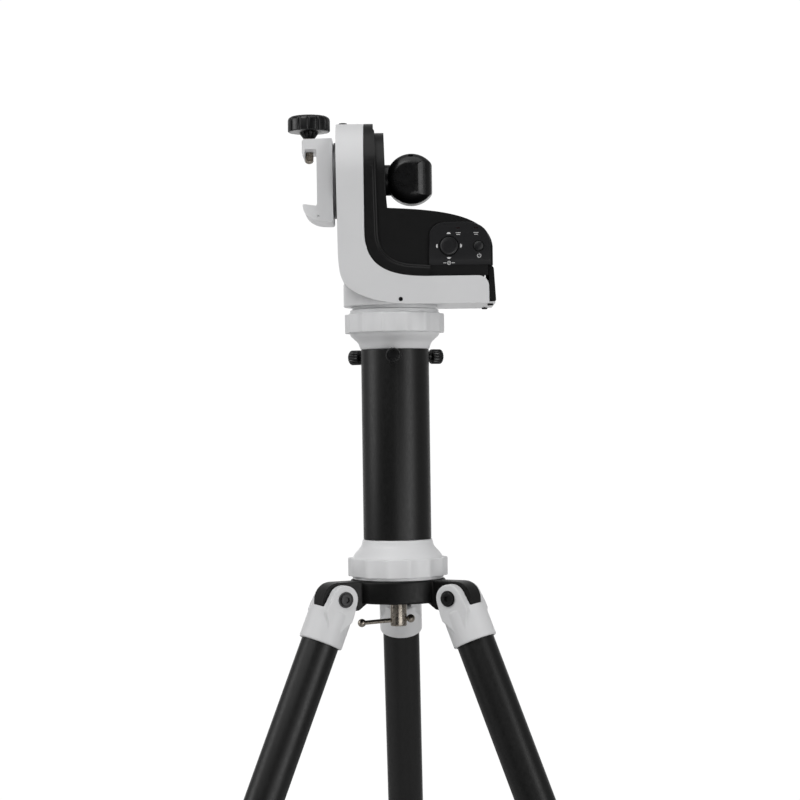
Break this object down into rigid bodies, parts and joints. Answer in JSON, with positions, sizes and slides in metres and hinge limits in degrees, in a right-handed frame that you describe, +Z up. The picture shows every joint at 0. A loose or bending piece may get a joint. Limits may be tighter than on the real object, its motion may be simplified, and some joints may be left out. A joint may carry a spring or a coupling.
{
  "type": "alt-azimuth telescope mount on tripod",
  "caption": "Motorised single-arm alt-azimuth telescope head with a side dovetail saddle, on a short round pier and a folding tripod with sliding legs.",
  "frame": {"origin": "middle of the footprint, on the floor", "axes": "+Z up; +X from the saddle side towards the deck side; -Y is the front, with the control panel"},
  "size_m": [0.5964, 0.5288, 1.0698],
  "materials": {
    "white_casting": "white satin powder coat",
    "white_shell": "white satin paint",
    "black_metal": "black satin coat",
    "black_steel": "blackened",
    "black_plastic": "satin, fine grain",
    "rubber": "matte",
    "steel": "nickel plated",
    "brass": "machined",
    "motor_metal": "zinc plated",
    "grey_metal": "satin",
    "board": "solder mask"
  },
  "bodies": {
    "tripod_base": {"tripod_crown": "black_metal", "leg_1_pivot_bolt": "black_steel", "leg_2_pivot_bolt": "black_steel", "leg_3_pivot_bolt": "black_steel", "pier_bottom_cap": "white_casting", "pier_tube": "black_metal", "pier_top_cap": "white_casting", "pier_head_bolt": "steel", "azimuth_base": "white_casting", "azimuth_worm_wheel": "brass"},
    "captive_bolt": {"captive_bolt": "steel"},
    "tommy_bar": {"tommy_bar": "steel"},
    "head": {"azimuth_bearing": "steel", "arm_outer_shell": "white_shell", "arm_inner_cover": "black_plastic", "control_panel": "black_plastic", "battery_holder": "black_plastic", "control_board": "board", "top_plug": "rubber", "head_foot_front": "rubber", "head_foot_back": "rubber", "azimuth_motor": "motor_metal", "altitude_motor": "motor_metal", "altitude_bearing_outer": "steel", "altitude_bearing_inner": "steel"},
    "azimuth_worm": {"azimuth_worm": "steel"},
    "saddle": {"altitude_shaft": "steel", "altitude_hub_disc": "grey_metal", "saddle_body": "white_casting", "altitude_worm_wheel": "brass"},
    "altitude_worm": {"altitude_worm": "steel"},
    "clutch_knob": {"clutch_knob": "black_plastic"},
    "saddle_screw": {"saddle_screw": "steel"},
    "saddle_knob": {"saddle_knob": "black_plastic"},
    "pad_gimbal": {"pad_gimbal": "steel"},
    "direction_pad": {"direction_pad": "rubber"},
    "power_button": {"power_button": "rubber"},
    "battery_door": {"battery_door": "black_plastic"},
    "leg_1": {"leg_1_bracket": "white_casting", "leg_1_upper_tube": "black_metal", "leg_1_clamp_collar": "black_plastic"},
    "leg_1_lower": {"leg_1_lower_tube": "black_metal", "leg_1_foot": "rubber"},
    "leg_1_clamp_knob": {"leg_1_clamp_knob": "black_plastic"},
    "thumbscrew_1": {"thumbscrew_1": "black_plastic"},
    "leg_2": {"leg_2_bracket": "white_casting", "leg_2_upper_tube": "black_metal", "leg_2_clamp_collar": "black_plastic"},
    "leg_2_lower": {"leg_2_lower_tube": "black_metal", "leg_2_foot": "rubber"},
    "leg_2_clamp_knob": {"leg_2_clamp_knob": "black_plastic"},
    "thumbscrew_2": {"thumbscrew_2": "black_plastic"},
    "leg_3": {"leg_3_bracket": "white_casting", "leg_3_upper_tube": "black_metal", "leg_3_clamp_collar": "black_plastic"},
    "leg_3_lower": {"leg_3_lower_tube": "black_metal", "leg_3_foot": "rubber"},
    "leg_3_clamp_knob": {"leg_3_clamp_knob": "black_plastic"},
    "thumbscrew_3": {"thumbscrew_3": "black_plastic"}
  },
  "joints": [
    {"name": "azimuth_turn", "type": "hinge", "parent": "tripod_base", "child": "head", "pos_m": [0.00428, -0.07714, 0.89], "axis": [0, 0, 1], "continuous": true},
    {"name": "azimuth_worm_turn", "type": "hinge", "parent": "head", "child": "azimuth_worm", "pos_m": [0.03588, -0.07714, 0.89], "axis": [0, 1, 0], "continuous": true},
    {"name": "altitude_turn", "type": "hinge", "parent": "head", "child": "saddle", "pos_m": [-0.03572, -0.07714, 1.0044], "axis": [1, 0, 0], "continuous": true},
    {"name": "altitude_worm_turn", "type": "hinge", "parent": "head", "child": "altitude_worm", "pos_m": [-0.03572, -0.07714, 0.9728], "axis": [0, 1, 0], "continuous": true},
    {"name": "clutch_knob_turn", "type": "hinge", "parent": "saddle", "child": "clutch_knob", "pos_m": [0.02308, -0.07714, 1.0044], "axis": [1, 0, 0], "range_deg": [0, 270]},
    {"name": "saddle_screw_slide", "type": "slide", "parent": "saddle", "child": "saddle_screw", "axis": [0, 0, 1], "range_m": [0, 0.005]},
    {"name": "saddle_knob_turn", "type": "hinge", "parent": "saddle_screw", "child": "saddle_knob", "pos_m": [-0.07872, -0.07714, 1.06], "axis": [0, 0, 1], "range_deg": [0, 1440]},
    {"name": "pad_rock_up_down", "type": "hinge", "parent": "head", "child": "pad_gimbal", "pos_m": [0.05848, -0.12474, 0.9337], "axis": [1, 0, 0], "range_deg": [-4, 4], "stiffness_Nm_per_rad": 0.05},
    {"name": "pad_rock_left_right", "type": "hinge", "parent": "pad_gimbal", "child": "direction_pad", "pos_m": [0.05848, -0.12474, 0.9337], "axis": [0, 0, 1], "range_deg": [-4, 4], "stiffness_Nm_per_rad": 0.05},
    {"name": "power_button_press", "type": "slide", "parent": "head", "child": "power_button", "axis": [0, 1, 0], "range_m": [0, 0.0011], "stiffness_N_per_m": 300, "springref_m": -0.0005},
    {"name": "battery_door_open", "type": "hinge", "parent": "head", "child": "battery_door", "pos_m": [0.10288, -0.07714, 0.8812], "axis": [0, 1, 0], "range_deg": [0, 90]},
    {"name": "captive_bolt_turn", "type": "hinge", "parent": "tripod_base", "child": "captive_bolt", "pos_m": [0.00428, -0.07714, 0.564], "axis": [0, 0, 1], "continuous": true},
    {"name": "tommy_bar_slide", "type": "slide", "parent": "captive_bolt", "child": "tommy_bar", "axis": [0.9966, 0, 0.0819], "range_m": [0, 0.0243]},
    {"name": "leg_1_fold", "type": "hinge", "parent": "tripod_base", "child": "leg_1", "pos_m": [0.0061, -0.00766, 0.59], "axis": [-0.9997, 0.0262, 0], "range_deg": [0, 23]},
    {"name": "leg_1_extend", "type": "slide", "parent": "leg_1", "child": "leg_1_lower", "axis": [0.0102, 0.3906, -0.9205], "range_m": [0, 0.34]},
    {"name": "leg_1_clamp_turn", "type": "hinge", "parent": "leg_1", "child": "leg_1_clamp_knob", "pos_m": [0.01196, 0.21615, 0.06255], "axis": [0.0241, 0.9202, 0.3907], "continuous": true},
    {"name": "leg_2_fold", "type": "hinge", "parent": "tripod_base", "child": "leg_2", "pos_m": [-0.0568, -0.1103, 0.59], "axis": [0.4772, -0.8788, 0], "range_deg": [0, 23]},
    {"name": "leg_2_extend", "type": "slide", "parent": "leg_2", "child": "leg_2_lower", "axis": [-0.3434, -0.1864, -0.9205], "range_m": [0, 0.34]},
    {"name": "leg_2_clamp_turn", "type": "hinge", "parent": "leg_2", "child": "leg_2_clamp_knob", "pos_m": [-0.25356, -0.21713, 0.06255], "axis": [-0.809, -0.4392, 0.3907], "continuous": true},
    {"name": "leg_3_fold", "type": "hinge", "parent": "tripod_base", "child": "leg_3", "pos_m": [0.06353, -0.11346, 0.59], "axis": [0.5225, 0.8526, 0], "range_deg": [0, 23]},
    {"name": "leg_3_extend", "type": "slide", "parent": "leg_3", "child": "leg_3_lower", "axis": [0.3332, -0.2042, -0.9205], "range_m": [0, 0.34]},
    {"name": "leg_3_clamp_turn", "type": "hinge", "parent": "leg_3", "child": "leg_3_clamp_knob", "pos_m": [0.25443, -0.23044, 0.06255], "axis": [0.7849, -0.481, 0.3907], "continuous": true},
    {"name": "thumbscrew_1_turn", "type": "hinge", "parent": "tripod_base", "child": "thumbscrew_1", "pos_m": [0.00428, -0.07714, 0.828], "axis": [-0.0349, -0.9994, 0], "continuous": true},
    {"name": "thumbscrew_2_turn", "type": "hinge", "parent": "tripod_base", "child": "thumbscrew_2", "pos_m": [0.00428, -0.07714, 0.828], "axis": [0.8829, 0.4695, 0], "continuous": true},
    {"name": "thumbscrew_3_turn", "type": "hinge", "parent": "tripod_base", "child": "thumbscrew_3", "pos_m": [0.00428, -0.07714, 0.828], "axis": [-0.848, 0.5299, 0], "continuous": true}
  ],
  "couplings": [
    {"joint": "azimuth_worm_turn", "follows": "azimuth_turn", "ratio": 40},
    {"joint": "altitude_worm_turn", "follows": "altitude_turn", "ratio": -40},
    {"joint": "saddle_knob_turn", "follows": "saddle_screw_slide", "rad_per_m": 5026.5}
  ]
}
